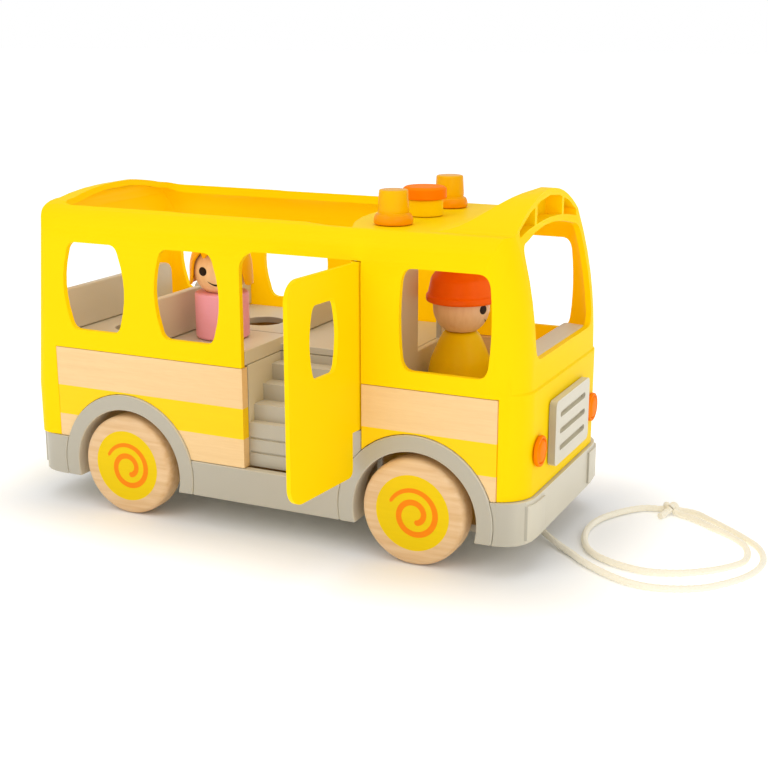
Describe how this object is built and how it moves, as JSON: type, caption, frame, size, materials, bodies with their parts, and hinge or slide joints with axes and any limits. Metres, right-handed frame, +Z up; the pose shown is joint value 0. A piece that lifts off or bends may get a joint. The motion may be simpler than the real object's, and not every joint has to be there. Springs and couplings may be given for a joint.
{
  "type": "toy school bus",
  "caption": "Toy school bus with an open roof, hinged entrance door, wood side panels and wheels, sprung roof button, lift-out peg figures and a pull cord.",
  "frame": {"origin": "centre of the chassis floor's flat underside, midway along the wood side panels", "axes": "+X to the front of the bus, +Y to its left, +Z up; the entrance door is on the right, at -Y"},
  "size_m": [0.3644, 0.176, 0.1676],
  "materials": {
    "yellow_plastic": "satin",
    "grey_plastic": "satin",
    "panel_wood": "lacquered, with a broad yellow stripe",
    "wheel_wood": "lacquered, with a yellow disc and an orange spiral on the face",
    "figure_wood": "lacquered",
    "yellow_painted_wood": "painted",
    "pink_painted_wood": "painted",
    "amber_plastic": "translucent",
    "orange_plastic": "gloss",
    "hat_plastic": "gloss",
    "steel": "plain",
    "cord_cotton": "braided"
  },
  "bodies": {
    "bus": {"rear_wall": "yellow_plastic", "side_wall_right": "yellow_plastic", "side_wall_left": "yellow_plastic", "cab_roof": "yellow_plastic", "front_fascia": "yellow_plastic", "button_boss": "yellow_plastic", "chassis_floor": "grey_plastic", "front_bumper": "grey_plastic", "rear_bumper": "grey_plastic", "sill_right": "grey_plastic", "sill_left": "grey_plastic", "arch_front_right": "grey_plastic", "arch_front_left": "grey_plastic", "arch_rear_right": "grey_plastic", "arch_rear_left": "grey_plastic", "hinge_post": "grey_plastic", "seat_deck": "grey_plastic", "rear_bench_back": "grey_plastic", "seat_back_right": "grey_plastic", "seat_back_left": "grey_plastic", "seat_back_front": "grey_plastic", "stairs": "grey_plastic", "bulkhead": "grey_plastic", "cab_floor": "grey_plastic", "dashboard": "grey_plastic", "grille": "grey_plastic", "axle_bearer_front": "grey_plastic", "axle_bearer_rear": "grey_plastic", "panel_right_rear": "panel_wood", "panel_right_front": "panel_wood", "panel_left": "panel_wood", "beacon_right": "amber_plastic", "beacon_left": "amber_plastic", "headlight_right": "orange_plastic", "headlight_left": "orange_plastic", "button_spring": "steel", "screw_front_right": "steel", "screw_front_left": "steel", "screw_rear_right": "steel", "screw_rear_left": "steel", "cord_lead": "cord_cotton", "cord_loop": "cord_cotton", "cord_knot": "cord_cotton"},
    "front_wheelset": {"wheel_front_right": "wheel_wood", "wheel_front_left": "wheel_wood", "axle_front": "steel"},
    "rear_wheelset": {"wheel_rear_right": "wheel_wood", "wheel_rear_left": "wheel_wood", "axle_rear": "steel"},
    "door_leaf": {"door": "yellow_plastic", "door_pin_top": "steel", "door_pin_bottom": "steel"},
    "roof_button": {"horn_button": "orange_plastic"},
    "driver": {"driver_body": "yellow_painted_wood", "driver_head": "figure_wood", "driver_hat": "hat_plastic"},
    "passenger": {"passenger_body": "pink_painted_wood", "passenger_head": "figure_wood", "passenger_hair": "yellow_plastic"}
  },
  "joints": [
    {"name": "front_wheels_roll", "type": "hinge", "parent": "bus", "child": "front_wheelset", "pos_m": [0.0796, 0, 0.0099], "axis": [0, 1, 0], "continuous": true},
    {"name": "rear_wheels_roll", "type": "hinge", "parent": "bus", "child": "rear_wheelset", "pos_m": [-0.0773, 0, 0.0099], "axis": [0, 1, 0], "continuous": true},
    {"name": "door_swing", "type": "hinge", "parent": "bus", "child": "door_leaf", "pos_m": [0.0495, -0.056, 0.0845], "axis": [0, 0, 1], "range_deg": [-85, 8]},
    {"name": "button_press", "type": "slide", "parent": "bus", "child": "roof_button", "axis": [0, 0, -1], "range_m": [0, 0.0035], "stiffness_N_per_m": 400, "deforming": ["button_spring"]},
    {"name": "driver_lift", "type": "slide", "parent": "bus", "child": "driver", "axis": [0, 0, 1], "range_m": [0, 0.013]},
    {"name": "passenger_lift", "type": "slide", "parent": "bus", "child": "passenger", "axis": [0, 0, 1], "range_m": [0, 0.08]}
  ]
}
